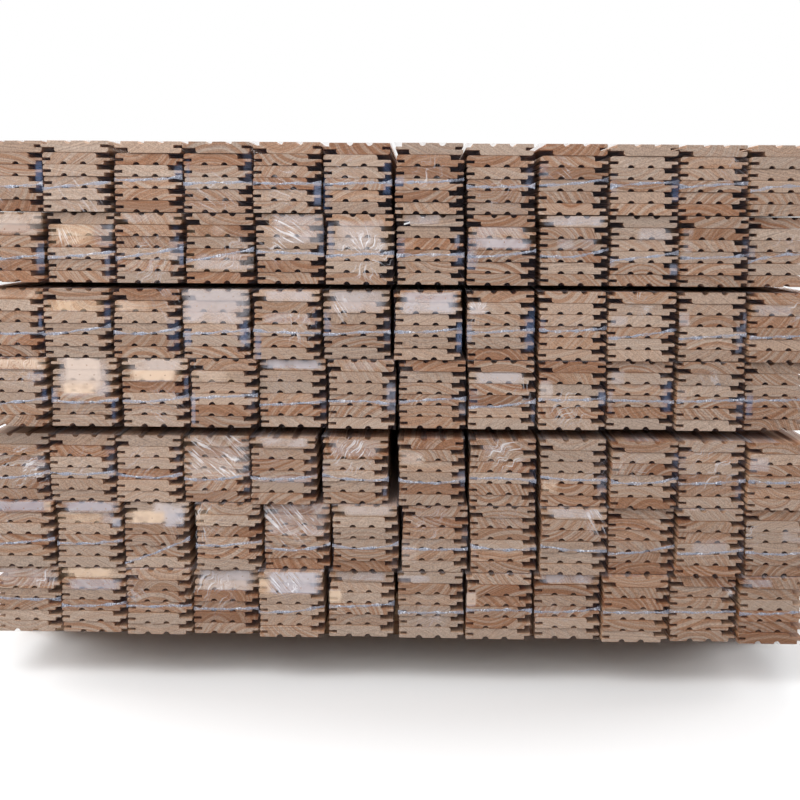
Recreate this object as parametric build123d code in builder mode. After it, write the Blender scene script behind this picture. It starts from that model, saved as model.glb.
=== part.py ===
from build123d import *
from math import sin
import os

# A stack of shrink-wrapped packs of tongue-and-groove boards, in tiers on ground bearers.
# X runs across the board ends, Y along the boards and Z up. The front ends face -Y.
# The origin is the middle of the underside of the middle bearer.

# Board: face up, its slot on the left and its tongue on the right
board_length = 3000.0
board_width = 118.0
board_thickness = 20.0
face_width = 94.5
face_rounding = 5.0
edge_easing = 1.0
tongue_reach = 11.0
tongue_thickness = 4.8
tongue_depth = 8.8
slot_reach = 14.0
slot_play = 0.2
groove_width = 12.0
groove_depth = 5.0
groove_inset = 36.5
groove_spacing = 34.5

# Pack: face-up boards with one turned face down on top, in a skin of film
boards_in_pack = 6
board_gap = 0.5
board_sway = 1.2
end_stagger = 2.0
turned_lean = 1.5
film_clearance = 0.3
film_wall = 0.3
seam_level = 47.0
seam_height = 5.0
seam_thickness = 0.8
seam_bow = 5.0

# Stack: packs side by side in tiers, laths between some tiers and bearers below
close_gap = 0.4
seat_gap = 0.3
pack_depth_spread = 7.0
lath_width = 45.0
lower_lath_thickness = 17.0
upper_lath_thickness = 9.0
lath_inset = 12.0
bearer_width = 90.0
bearer_height = 90.0
bearer_overhang = 25.0
bearer_easing = 3.0
support_rows = 3
support_spacing = 1150.0

# Room beyond the close gap between one pack and the next, left to right, from the ground up
loose_gaps = [
    [0, 0, 0, 0, 6, 5, 2, 3, 1, 1, 2],
    [2, 1, 11, 2, 3, 4, 2, 5, 1, 0, 3],
    [0, 0, 0, 1, 7, 16, 6, 6, 3, 1, 0],
    [2, 5, 1, 0, 2, 4, 2, 3, 1, 1, 2],
    [0, 1, 1, 4, 1, 5, 7, 6, 0, 5, 1],
    [0, 0, 2, 1, 2, 2, 3, 6, 2, 0, 0],
    [0, 2, 0, 0, 1, 4, 3, 5, 2, 0, 0],
]
# How far each tier starts to the right of the leftmost one
tier_insets = [14, 8, 0, 10, 3, 11, 8]
# How far each tier's middle stands back, and how much further each of its packs stands back
# than the one to its left
tier_setbacks = [4, 4, 4, -3, -3, -3, -3]
tier_slants = [-1.8, -1.8, -1.8, 1.6, 1.6, 1.6, 1.6]
# Tiers that stand on laths, and the laths' thickness
laths_under_tier = {4: lower_lath_thickness, 6: upper_lath_thickness}

# Sizes that follow
back_width = board_width - tongue_reach
board_pitch = board_thickness + board_gap
boards_height = boards_in_pack * board_pitch - board_gap
boards_room = board_width + 2 * board_sway
film_reach = film_clearance + film_wall
pack_width = boards_room + 2 * film_reach
pack_height = boards_height + 2 * film_reach


def wander(tier, column, row=0):
    """A fixed, uneven value from -1 to 1 for each place in the stack."""
    return sin(3.7 * tier + 2.9 * column + 5.3 * row)


def pack_lefts(tier, stack_left=0.0):
    """The left side of each pack in a tier."""
    lefts = [stack_left + tier_insets[tier - 1]]
    for loose_gap in loose_gaps[tier - 1]:
        lefts.append(lefts[-1] + pack_width + close_gap + loose_gap)
    return lefts


def pack_depth(tier, column):
    """How far back a pack stands."""
    middle_column = len(loose_gaps[tier - 1]) / 2
    slanted = tier_slants[tier - 1] * (column - middle_column)
    return tier_setbacks[tier - 1] + slanted + pack_depth_spread * wander(column, tier)


def tier_bottoms():
    """The height of each tier's underside, from the ground up."""
    bottoms = []
    level = bearer_height + seat_gap
    for tier in range(1, len(loose_gaps) + 1):
        if tier in laths_under_tier:
            level += laths_under_tier[tier] + 2 * seat_gap - close_gap
        bottoms.append(level)
        level += pack_height + close_gap
    return bottoms


tiers = range(1, len(loose_gaps) + 1)
stack_width = max(pack_lefts(tier)[-1] + pack_width for tier in tiers)
tier_levels = tier_bottoms()


def film_outline(gap):
    """The outline round a pack's board ends, at the given gap outside the room they take."""
    low = film_reach - gap
    right = film_reach + boards_room + gap
    top = film_reach + boards_height + gap
    turned_from = film_reach + boards_height - board_thickness
    turned_to = turned_from + tongue_depth
    return [
        (low, low + edge_easing),
        (low + edge_easing, low),
        (right - edge_easing, low),
        (right, low + edge_easing),
        (right, turned_from),
        (right - turned_lean, turned_to),
        (right - turned_lean, top - edge_easing),
        (right - turned_lean - edge_easing, top),
        (low - turned_lean + edge_easing, top),
        (low - turned_lean, top - edge_easing),
        (low - turned_lean, turned_to),
        (low, turned_from),
    ]


# Section of a board, face up: slot and tongue at mid thickness, two half-round grooves in the back
tongue_top = board_thickness - tongue_depth
tongue_bottom = tongue_top - tongue_thickness
groove_radius = (groove_width**2 / 4 + groove_depth**2) / (2 * groove_depth)

with BuildSketch() as board_section:
    with BuildLine():
        Polyline(
            (face_width, board_thickness - face_rounding),
            (face_width, tongue_top),
            (board_width - edge_easing, tongue_top),
            (board_width, tongue_top - edge_easing),
            (board_width, tongue_bottom + edge_easing),
            (board_width - edge_easing, tongue_bottom),
            (back_width, tongue_bottom),
            (back_width, edge_easing),
            (back_width - edge_easing, 0),
            (edge_easing, 0),
            (0, edge_easing),
            (0, tongue_bottom - slot_play),
            (slot_reach, tongue_bottom - slot_play),
            (slot_reach, tongue_top + slot_play),
            (0, tongue_top + slot_play),
            (0, board_thickness - face_rounding),
        )
        RadiusArc((0, board_thickness - face_rounding), (face_rounding, board_thickness), face_rounding)
        Line((face_rounding, board_thickness), (face_width - face_rounding, board_thickness))
        RadiusArc(
            (face_width - face_rounding, board_thickness),
            (face_width, board_thickness - face_rounding),
            face_rounding,
        )
    make_face()
    with Locations(
        (groove_inset, groove_depth - groove_radius),
        (groove_inset + groove_spacing, groove_depth - groove_radius),
    ):
        Circle(groove_radius, mode=Mode.SUBTRACT)

# A board face up and one turned face down, each with its left, lower front corner at the origin
with BuildPart() as face_up_board:
    with BuildSketch(Plane.XZ):
        add(board_section.sketch)
    extrude(amount=-board_length)

with BuildPart() as turned_board:
    with BuildSketch(Plane.XZ):
        with Locations((board_width, board_thickness)):
            add(board_section.sketch, rotation=180)
    extrude(amount=-board_length)

# Film sleeve round one pack, with the left, lower corner of its place at X and Z zero.
# A welded seam, bowed outwards, crosses both ends from wall to wall.
seam_start = board_length / 2 + end_stagger + film_clearance
sleeve_half_length = seam_start + seam_thickness

with BuildPart() as film_wrap:
    for gap, mode in ((film_reach, Mode.ADD), (film_clearance, Mode.SUBTRACT)):
        with BuildSketch(Plane.XZ):
            with BuildLine():
                Polyline(*film_outline(gap), close=True)
            make_face()
        extrude(amount=sleeve_half_length, both=True, mode=mode)
    with BuildSketch(Plane.XY.offset(seam_level - seam_height / 2)) as seam:
        with BuildLine():
            outer_bow = SagittaArc((0, -sleeve_half_length), (pack_width, -sleeve_half_length), -seam_bow)
            inner_bow = SagittaArc((0, -seam_start), (pack_width, -seam_start), -seam_bow)
            Line(outer_bow @ 0, inner_bow @ 0)
            Line(outer_bow @ 1, inner_bow @ 1)
        make_face()
        mirror(about=Plane.XZ)
    extrude(amount=seam_height)

os.makedirs("parts", exist_ok=True)

for tier in tiers:
    level = tier_levels[tier - 1]
    face_up_places = []
    turned_places = []
    film_places = []
    for column, left in enumerate(pack_lefts(tier, -stack_width / 2)):
        depth = pack_depth(tier, column)
        film_places.append((left, depth, level))
        for row in range(boards_in_pack):
            side = left + film_reach + board_sway * (1 + wander(tier, column, row))
            front = depth - board_length / 2 + end_stagger * wander(row, tier, column)
            height = level + film_reach + row * board_pitch
            if row < boards_in_pack - 1:
                face_up_places.append((side, front, height))
            else:
                turned_places.append((side - turned_lean, front, height))

    with BuildPart() as boards:
        with Locations(*face_up_places):
            add(face_up_board.part)
        with Locations(*turned_places):
            add(turned_board.part)
    boards.part.label = f"tier_{tier}_boards"
    export_step(boards.part, f"parts/tier_{tier}_boards.step")

    with BuildPart() as film:
        with Locations(*film_places):
            add(film_wrap.part)
    film.part.label = f"tier_{tier}_film"
    export_step(film.part, f"parts/tier_{tier}_film.step")


def support_rows_at(level):
    """The middles of the rows of laths or bearers that carry the tiers, at one height."""
    middle_row = (support_rows - 1) / 2
    return [(0, (row - middle_row) * support_spacing, level) for row in range(support_rows)]


def lath_level(tier):
    """The height of the middle of the laths under a tier."""
    return tier_levels[tier - 1] - seat_gap - laths_under_tier[tier] / 2


lath_length = stack_width - 2 * lath_inset
lower_tier, upper_tier = sorted(laths_under_tier)

with BuildPart() as lower_stickers:
    with Locations(*support_rows_at(lath_level(lower_tier))):
        Box(lath_length, lath_width, lower_lath_thickness)
    chamfer(lower_stickers.edges().filter_by(Axis.X), edge_easing)
lower_stickers.part.label = "lower_stickers"
export_step(lower_stickers.part, "parts/lower_stickers.step")

with BuildPart() as upper_stickers:
    with Locations(*support_rows_at(lath_level(upper_tier))):
        Box(lath_length, lath_width, upper_lath_thickness)
    chamfer(upper_stickers.edges().filter_by(Axis.X), edge_easing)
upper_stickers.part.label = "upper_stickers"
export_step(upper_stickers.part, "parts/upper_stickers.step")

with BuildPart() as ground_bearers:
    with Locations(*support_rows_at(bearer_height / 2)):
        Box(stack_width + 2 * bearer_overhang, bearer_width, bearer_height)
    chamfer(ground_bearers.edges().filter_by(Axis.X), bearer_easing)
ground_bearers.part.label = "ground_bearers"
export_step(ground_bearers.part, "parts/ground_bearers.step")
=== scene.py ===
import logging
import math
from dataclasses import dataclass, field
from enum import Enum
from typing import ClassVar

import bpy
import numpy as np
from mathutils import Matrix, Vector


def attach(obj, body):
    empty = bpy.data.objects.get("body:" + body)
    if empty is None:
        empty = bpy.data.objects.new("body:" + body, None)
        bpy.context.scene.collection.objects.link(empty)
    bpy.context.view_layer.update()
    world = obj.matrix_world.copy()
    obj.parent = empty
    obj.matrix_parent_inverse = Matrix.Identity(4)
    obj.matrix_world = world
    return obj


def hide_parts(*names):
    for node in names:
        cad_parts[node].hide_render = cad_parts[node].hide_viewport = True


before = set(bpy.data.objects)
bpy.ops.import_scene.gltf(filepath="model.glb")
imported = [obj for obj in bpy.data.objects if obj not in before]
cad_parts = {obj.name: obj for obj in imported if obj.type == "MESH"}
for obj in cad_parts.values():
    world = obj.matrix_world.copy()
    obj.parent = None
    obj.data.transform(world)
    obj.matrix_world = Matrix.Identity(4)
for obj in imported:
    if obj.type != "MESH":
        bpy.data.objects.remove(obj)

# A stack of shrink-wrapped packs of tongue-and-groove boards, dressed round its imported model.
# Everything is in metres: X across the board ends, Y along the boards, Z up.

LOG = logging.getLogger("lumber_stack")
BODY = "root"
MM = 0.001
TIERS = 7
SAME_CORNER = 0.02 * MM     # corners of a solid that are nearer than this are one
WHITE = (1.0, 1.0, 1.0)

Triple = tuple[float, float, float]
Pair = tuple[float, float]
Socket = bpy.types.NodeSocket
Value = float | Triple | Socket


class Lay(Enum):
    """Which way up a board lies in its pack."""

    FACE_UP = "face up"
    TURNED = "turned"


class Mark(Enum):
    """Names of the mesh attributes that the finishes read."""

    GRAIN = "grain_place"
    LOOK = "board_look"
    HEART = "board_heart"
    FILM = "film_place"
    FOLD = "film_fold"
    HAZE_GLARE = "film_haze_glare"


@dataclass(frozen=True)
class Block:
    """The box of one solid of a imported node."""

    low: np.ndarray
    high: np.ndarray

    @property
    def size(self) -> np.ndarray:
        """The box's size along X, Y and Z."""
        return self.high - self.low


def blocks_of(node: str) -> list[Block]:
    """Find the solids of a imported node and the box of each.

    Args:
        node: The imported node's name.

    Returns:
        One box for each solid, ordered from the bottom up and from left to right.
    """
    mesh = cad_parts[node].data
    places = np.empty(len(mesh.vertices) * 3)
    mesh.vertices.foreach_get("co", places)
    places = places.reshape(-1, 3)
    ends = np.empty(len(mesh.edges) * 2, dtype=np.int64)
    mesh.edges.foreach_get("vertices", ends)
    steps = np.round(places / SAME_CORNER).astype(np.int64)
    _, same = np.unique(steps, axis=0, return_inverse=True)
    same = same.ravel()
    pairs = same[ends].reshape(-1, 2)
    label = np.arange(same.max() + 1)
    while True:
        lowest = np.minimum(label[pairs[:, 0]], label[pairs[:, 1]])
        merged = label.copy()
        np.minimum.at(merged, pairs[:, 0], lowest)
        np.minimum.at(merged, pairs[:, 1], lowest)
        merged = merged[merged]
        if np.array_equal(merged, label):
            break
        label = merged
    owner = label[same]
    found = []
    for solid in np.unique(owner):
        own = places[owner == solid]
        found.append(Block(own.min(axis=0), own.max(axis=0)))
    return sorted(found, key=lambda block: (round(block.low[2], 3), block.low[0]))


@dataclass
class MeshMaker:
    """Gathers corners, faces and attributes, and turns them into one mesh object.

    Args:
        name: The piece's name.
    """

    name: str
    corners: list[np.ndarray] = field(default_factory=list)
    faces: list[list[int]] = field(default_factory=list)
    slots: list[int] = field(default_factory=list)
    marks: dict[Mark, list[np.ndarray]] = field(default_factory=dict)
    count: int = 0

    def add(self, corners: np.ndarray, faces: list[list[int]], marks: dict[Mark, np.ndarray],
            slot: int = 0) -> None:
        """Add one closed part.

        Args:
            corners: The part's corners, one row each.
            faces: Its faces, as corner numbers that start at 0.
            marks: One row for each corner, or one row for all, under each attribute.
            slot: Which of the piece's materials its faces take.
        """
        self.corners.append(corners)
        self.faces.extend([[corner + self.count for corner in face] for face in faces])
        self.slots.extend([slot] * len(faces))
        for mark, rows in marks.items():
            rows = np.broadcast_to(np.asarray(rows, dtype=float), (len(corners), 3))
            self.marks.setdefault(mark, []).append(rows)
        self.count += len(corners)

    def build(self, materials: list[bpy.types.Material],
              smooth_angle: float = 35.0) -> bpy.types.Object:
        """Make the object, with its attributes, materials and smooth shading.

        Args:
            materials: The piece's materials, in slot order.
            smooth_angle: Edges sharper than this many degrees stay sharp.

        Returns:
            The new object, linked to the scene.
        """
        mesh = bpy.data.meshes.new(self.name)
        mesh.from_pydata(np.concatenate(self.corners).tolist(), [], self.faces)
        for mark, rows in self.marks.items():
            layer = mesh.attributes.new(mark.value, "FLOAT_VECTOR", "POINT")
            layer.data.foreach_set("vector", np.concatenate(rows).astype(np.float32).ravel())
        for material in materials:
            mesh.materials.append(material)
        mesh.polygons.foreach_set("material_index", self.slots)
        mesh.shade_smooth()
        mesh.set_sharp_from_angle(angle=math.radians(smooth_angle))
        mesh.update()
        piece = bpy.data.objects.new(self.name, mesh)
        bpy.context.scene.collection.objects.link(piece)
        return piece


class Graph:
    """A material's node tree, with short calls for the nodes that the finishes use."""

    def __init__(self, name: str) -> None:
        """Start an empty material.

        Args:
            name: The material's name.
        """
        self.material = bpy.data.materials.new(name)
        self.material.use_nodes = True
        self.tree = self.material.node_tree
        self.tree.nodes.clear()
        self.output = self.tree.nodes.new("ShaderNodeOutputMaterial")

    def node(self, kind: str, **settings: object) -> bpy.types.Node:
        """Add a node of a kind, with the given settings."""
        made = self.tree.nodes.new(kind)
        for setting, value in settings.items():
            setattr(made, setting, value)
        return made

    def put(self, socket: Socket, value: Value) -> None:
        """Set a socket to a value, or link it when the value is another node's socket."""
        if isinstance(value, Socket):
            self.tree.links.new(value, socket)
        else:
            socket.default_value = (*value, 1.0) if socket.type == "RGBA" else value

    def math(self, operation: str, *values: Value, clamp: bool = False) -> Socket:
        """Do arithmetic on numbers.

        Args:
            operation: The Math node's operation.
            *values: Its inputs, as numbers or sockets.
            clamp: Whether the result is held between 0 and 1.

        Returns:
            The result's socket.
        """
        made = self.node("ShaderNodeMath", operation=operation, use_clamp=clamp)
        for socket, value in zip(made.inputs, values):
            self.put(socket, value)
        return made.outputs[0]

    def times(self, first: Value, second: Value, clamp: bool = False) -> Socket:
        """Multiply two numbers."""
        return self.math("MULTIPLY", first, second, clamp=clamp)

    def line(self, value: Value, rate: Value, start: Value, clamp: bool = False) -> Socket:
        """Work out a value times a rate, plus a start."""
        return self.math("MULTIPLY_ADD", value, rate, start, clamp=clamp)

    def span(self, value: Value, low: float, high: float, to_low: float = 0.0,
             to_high: float = 1.0) -> Socket:
        """Map a number smoothly from one range to another.

        Args:
            value: The number's socket.
            low: Where the old range starts.
            high: Where it ends.
            to_low: What low becomes.
            to_high: What high becomes.

        Returns:
            The mapped number's socket.
        """
        made = self.node("ShaderNodeMapRange", interpolation_type="SMOOTHSTEP")
        for socket, number in zip(made.inputs, (value, low, high, to_low, to_high)):
            self.put(socket, number)
        return made.outputs[0]

    def mark(self, mark: Mark) -> Socket:
        """Read one of the mesh's attributes as a vector."""
        return self.node("ShaderNodeAttribute", attribute_name=mark.value).outputs["Vector"]

    def split(self, vector: Socket) -> list[Socket]:
        """Take a vector apart into its three numbers."""
        made = self.node("ShaderNodeSeparateXYZ")
        self.put(made.inputs[0], vector)
        return list(made.outputs)

    def join(self, *numbers: Value) -> Socket:
        """Put three numbers together as a vector."""
        made = self.node("ShaderNodeCombineXYZ")
        for socket, number in zip(made.inputs, numbers):
            self.put(socket, number)
        return made.outputs[0]

    def noise(self, place: Socket, detail: float = 1.0, roughness: float = 0.5) -> Socket:
        """Make soft noise with one lump to a unit, about 0.5 on the whole.

        Args:
            place: The vector to read it at, or the number for noise along a line.
            detail: How many finer layers it has.
            roughness: How strong they are.

        Returns:
            The noise's socket.
        """
        in_line = place.type == "VALUE"
        made = self.node("ShaderNodeTexNoise", noise_dimensions="1D" if in_line else "3D")
        self.put(made.inputs["W" if in_line else "Vector"], place)
        made.inputs["Scale"].default_value = 1.0
        made.inputs["Detail"].default_value = detail
        made.inputs["Roughness"].default_value = roughness
        return made.outputs[0]

    def random(self, number: Socket) -> Socket:
        """Make a random value from 0 to 1 that changes with each whole number."""
        made = self.node("ShaderNodeTexWhiteNoise", noise_dimensions="1D")
        self.put(made.inputs["W"], self.math("FLOOR", number))
        return made.outputs["Value"]

    def scaled(self, place: Socket, rates: Triple, seed: Socket) -> Socket:
        """Scale a place for a noise, and move it by a seed.

        Args:
            place: The vector.
            rates: How many lumps of noise there are to a metre along each axis.
            seed: The number that moves it.

        Returns:
            The scaled vector's socket.
        """
        made = self.node("ShaderNodeVectorMath", operation="MULTIPLY_ADD")
        self.put(made.inputs[0], place)
        made.inputs[1].default_value = rates
        self.put(made.inputs[2], seed)
        return made.outputs[0]

    def blend(self, share: Value, first: Value, second: Value, way: str = "MIX") -> Socket:
        """Mix two colours.

        Args:
            share: How much of the second there is.
            first: The first colour.
            second: The second colour.
            way: The Mix node's blend type.

        Returns:
            The mixed colour's socket.
        """
        made = self.node("ShaderNodeMix", data_type="RGBA", blend_type=way)
        for place, value in zip((0, 6, 7), (share, first, second)):
            self.put(made.inputs[place], value)
        return made.outputs[2]

    def tinted(self, colour: Socket, tint: Value) -> Socket:
        """Multiply one colour by another."""
        return self.blend(1.0, colour, tint, "MULTIPLY")

    def grey(self, value: Socket) -> Socket:
        """Make a grey colour from a number."""
        return self.join(value, value, value)

    def bump(self, height: Socket, strength: float, depth: float) -> Socket:
        """Turn a height into a normal.

        Args:
            height: The height, from 0 to 1.
            strength: How much of it shows.
            depth: What a height of 1 is, in metres.

        Returns:
            The normal's socket.
        """
        made = self.node("ShaderNodeBump")
        made.inputs["Strength"].default_value = strength
        made.inputs["Distance"].default_value = depth
        self.put(made.inputs["Height"], height)
        return made.outputs[0]

    def finish(self, **sockets: Value) -> bpy.types.Material:
        """Close the material with a Principled shader.

        Args:
            **sockets: Its inputs by name, with spaces as underscores.

        Returns:
            The finished material.
        """
        shader = self.node("ShaderNodeBsdfPrincipled")
        for name, value in sockets.items():
            self.put(shader.inputs[name.replace("_", " ")], value)
        self.tree.links.new(shader.outputs[0], self.output.inputs[0])
        return self.material


@dataclass(frozen=True)
class WoodFinish:
    """Softwood with growth rings round its own pith, sawn across at its ends.

    The rings are cut by whichever face shows them, so a board's end and its sides agree.
    """

    name: str
    pale: Triple = (0.365, 0.279, 0.220)
    tan: Triple = (0.325, 0.200, 0.128)
    heart: Triple = (0.232, 0.110, 0.055)
    late: Triple = (0.58, 0.41, 0.32)
    # The sides' tint and lift: partly the long grain's own tone, partly the painted brown of the
    # shaded recesses
    side_and_recess_tint: Triple = (1.0, 0.87, 0.73)
    end_shade: float = 0.98
    side_and_recess_shade: float = 1.22
    end_edges: Pair = (0.6, 0.8)        # how squarely a face looks along the board
    roughness: float = 0.62
    specular: float = 0.25
    saw_depth: float = 0.0003
    saw_strength: float = 0.6
    along_axis: int = 1
    drift_rate: float = 0.8             # how the pith wanders along the board
    drift_reach: float = 0.05
    wobble_rates: Triple = (15.0, 1.2, 15.0)
    wobble_reach: float = 0.016
    band_rate: float = 140.0            # slow bands of colour that follow the rings
    band_edges: Pair = (0.38, 0.62)
    band_middle: float = 0.4
    band_pull: float = 1.6
    band_tan: float = 1.2
    band_red: float = 0.62
    late_rise: float = 3.0              # the dark late wood in each ring
    late_fall: float = 0.15
    late_share: Pair = (0.75, 0.35)     # by ring, and at least
    ring_share: Pair = (0.7, 0.25)      # by contrast, and at least
    heart_edge: Pair = (-0.003, 0.006)
    heart_share: Pair = (0.55, 0.32)    # by band, and at least
    speck_rates: Triple = (430.0, 20.0, 430.0)
    speck_shade: float = 0.23
    stroke_rate: float = 360.0          # the saw's strokes across the board's end
    stroke_lean: float = 1.6
    stroke_shade: float = 0.62

    def late_wood(self, graph: Graph, ring: Socket) -> Socket:
        """Draw the dark late wood: a slow rise to each ring's edge and a quick fall after it.

        Args:
            graph: The material's node tree.
            ring: The place among the rings, one ring to a unit.

        Returns:
            The late wood, from 0 to about 1, unevenly strong from ring to ring.
        """
        share = graph.math("FRACT", ring)
        rise = graph.math("POWER", share, self.late_rise)
        late = graph.math("MAXIMUM", rise, graph.span(share, 0.0, self.late_fall, 0.9, 0.0))
        return graph.times(late, graph.line(graph.random(ring), *self.late_share))

    def strokes(self, graph: Graph, across: Socket, up: Socket, seed: Socket) -> Socket:
        """Draw the saw's strokes across a board's end, at a slant of the board's own.

        Args:
            graph: The material's node tree.
            across: The place across the board.
            up: The height in the board.
            seed: The board's seed.

        Returns:
            The strokes, about 0 on the whole.
        """
        lean = graph.math("SUBTRACT", graph.math("FRACT", graph.times(seed, 3.7)), 0.5)
        place = graph.line(across, graph.times(lean, self.stroke_lean), up)
        strokes = graph.noise(graph.line(place, self.stroke_rate, seed))
        return graph.math("SUBTRACT", strokes, 0.5)

    def build(self) -> bpy.types.Material:
        """Make the material.

        Returns:
            The wood's material.
        """
        graph = Graph(self.name)
        grain = graph.mark(Mark.GRAIN)
        across, along, up = graph.split(grain)
        tone, spacing, seed = graph.split(graph.mark(Mark.LOOK))
        heart_radius, contrast, shade = graph.split(graph.mark(Mark.HEART))
        normal = graph.node("ShaderNodeNewGeometry").outputs["True Normal"]
        facing = graph.math("ABSOLUTE", graph.split(normal)[self.along_axis])
        on_end = graph.span(facing, *self.end_edges)

        # The rings, from the distance to a pith that wanders along the board
        drift = graph.noise(graph.line(along, self.drift_rate, seed), detail=0.0)
        side = graph.line(drift, self.drift_reach, graph.math("ADD", across, -self.drift_reach / 2))
        squared = graph.line(side, side, graph.times(up, up))
        wobble = graph.noise(graph.scaled(grain, self.wobble_rates, seed), detail=3.0,
                             roughness=0.42)
        radius = graph.line(wobble, self.wobble_reach, graph.math("SQRT", squared))
        band = graph.noise(graph.line(radius, self.band_rate, graph.times(seed, 7.3)))
        ring = graph.line(band, self.band_pull, graph.math("DIVIDE", radius, spacing))
        late = self.late_wood(graph, ring)

        # The colour, from pale to tan, with reddish heartwood and darker late wood
        streak = graph.span(band, *self.band_edges)
        sway = graph.times(graph.math("SUBTRACT", streak, self.band_middle), contrast)
        body = graph.blend(graph.line(sway, self.band_tan, tone, clamp=True), self.pale, self.tan)
        inside = graph.span(graph.math("SUBTRACT", heart_radius, radius), *self.heart_edge)
        reddish = graph.times(inside, graph.line(streak, *self.heart_share))
        reddish = graph.line(graph.math("POWER", contrast, 2.0), graph.times(streak, self.band_red),
                             reddish, clamp=True)
        body = graph.blend(reddish, body, self.heart)
        body = graph.blend(graph.times(late, graph.line(contrast, *self.ring_share)),
                           body, graph.tinted(body, self.late))

        # The specks of the sawn surface, the strokes on the ends, and the browner, lighter sides,
        # partly the long grain's tone and partly the painted brown light of the shaded recesses
        # between boards
        speck = graph.noise(graph.scaled(grain, self.speck_rates, seed), roughness=0.6)
        strokes = graph.times(self.strokes(graph, across, up, seed), on_end)
        mottle = graph.line(strokes, self.stroke_shade,
                            graph.span(speck, 0.25, 0.75, -self.speck_shade, self.speck_shade))
        body = graph.blend(on_end, graph.tinted(body, self.side_and_recess_tint), body)
        side_and_recess_lift = graph.span(on_end, 0.0, 1.0, self.side_and_recess_shade, self.end_shade)
        body = graph.tinted(body, graph.grey(graph.times(graph.math("ADD", side_and_recess_lift, mottle), shade)))
        return graph.finish(Base_Color=body, Roughness=self.roughness,
                            Specular_IOR_Level=self.specular,
                            Normal=graph.bump(speck, self.saw_strength, self.saw_depth))


@dataclass(frozen=True)
class FilmFinish:
    """Clear shrink film: nearly see-through, with milky haze that paints the sky's reflection in
    patches, fine creases with painted highlights, and vent holes.
    """

    name: str = "shrink_film"
    clear_tint: Triple = (0.46, 0.27, 0.18)
    # The milk, warm and cool tints colour the haze, which paints the sky's reflection in the film
    glare_milk_tint: Triple = (0.575, 0.565, 0.635)
    cool_glare_tint: Triple = (0.12, 0.19, 0.38)
    warm_glare_tint: Triple = (0.98, 0.71, 0.48)
    # The crease tint and its strength paint highlights along the crease ridges
    crease_highlight_tint: Triple = (0.82, 0.81, 0.84)
    clear: float = 0.03
    # How strong the milky haze and its painted sky reflection are
    milky: float = 0.68
    crease_highlight: float = 0.40
    roughness: float = 0.2
    specular: float = 0.5
    haze_rates: Triple = (27.0, 36.0, 0.0)
    haze_edges: Pair = (0.46, 0.84)
    haze_least: float = 0.25
    haze_pull: float = 0.4          # how much a strong patch fills in its own gaps
    glare_milk_edges: Pair = (0.03, 0.16)
    fold_rates: Triple = (390.0, 26.0, 0.0)
    ridge_edges: Pair = (0.55, 0.68)
    valley_edges: Pair = (0.28, 0.47)
    thinning: float = 0.75          # how much valleys and vents thin the film
    vent_pitch: Pair = (0.026, 0.017)
    vent_radius: float = 0.0012

    def vents(self, graph: Graph, across: Socket, up: Socket) -> Socket:
        """Draw the grid of small vent holes.

        Args:
            graph: The material's node tree.
            across: The place across the pack.
            up: The height in the pack.

        Returns:
            The vents, from 0 to 1.
        """
        wide, high = self.vent_pitch
        row = graph.math("DIVIDE", up, high)
        shift = graph.times(graph.math("FLOOR", row), 0.5)
        turn = graph.math("FRACT", graph.line(across, 1.0 / wide, shift))
        off_x = graph.times(graph.math("SUBTRACT", turn, 0.5), wide)
        off_z = graph.times(graph.math("SUBTRACT", graph.math("FRACT", row), 0.5), high)
        far = graph.line(off_x, off_x, graph.times(off_z, off_z))
        edge = self.vent_radius ** 2
        return graph.span(far, edge * 0.5, edge * 1.5, 1.0, 0.0)

    def build(self) -> bpy.types.Material:
        """Make the material.

        Returns:
            The film's material.
        """
        graph = Graph(self.name)
        place = graph.mark(Mark.FILM)
        across, up, _ = graph.split(place)
        cover, warmth, seed = graph.split(graph.mark(Mark.HAZE_GLARE))
        fold = graph.mark(Mark.FOLD)
        strength = graph.split(fold)[2]
        # The haze: milky film in patches, painted where the film reflects the sky
        soft = graph.noise(graph.scaled(place, self.haze_rates, seed), detail=2.0)
        haze_glare = graph.times(cover, graph.span(
            graph.line(cover, self.haze_pull, soft), *self.haze_edges, self.haze_least, 1.0))
        lines = graph.noise(graph.scaled(fold, self.fold_rates, seed))
        # Painted highlights along the crease ridges; the valleys thin the haze
        ridge_highlight = graph.times(graph.span(lines, *self.ridge_edges), strength)
        valley = graph.times(graph.span(lines, *self.valley_edges, 1.0, 0.0), strength)

        glare_milk = graph.times(haze_glare, graph.line(valley, -self.thinning, self.milky))
        alpha = graph.line(ridge_highlight, self.crease_highlight, graph.math("ADD", glare_milk, self.clear))
        open_share = graph.line(self.vents(graph, across, up), -self.thinning, 1.0)
        alpha = graph.times(alpha, open_share, clamp=True)
        colour = graph.blend(graph.span(haze_glare, *self.glare_milk_edges), self.clear_tint, self.glare_milk_tint)
        colour = graph.blend(graph.times(warmth, 1.0, clamp=True), colour, self.warm_glare_tint)
        colour = graph.blend(graph.times(warmth, -1.0, clamp=True), colour, self.cool_glare_tint)
        colour = graph.blend(ridge_highlight, colour, self.crease_highlight_tint)
        return graph.finish(Base_Color=colour, Roughness=self.roughness, Alpha=alpha,
                            Specular_IOR_Level=self.specular)


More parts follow.
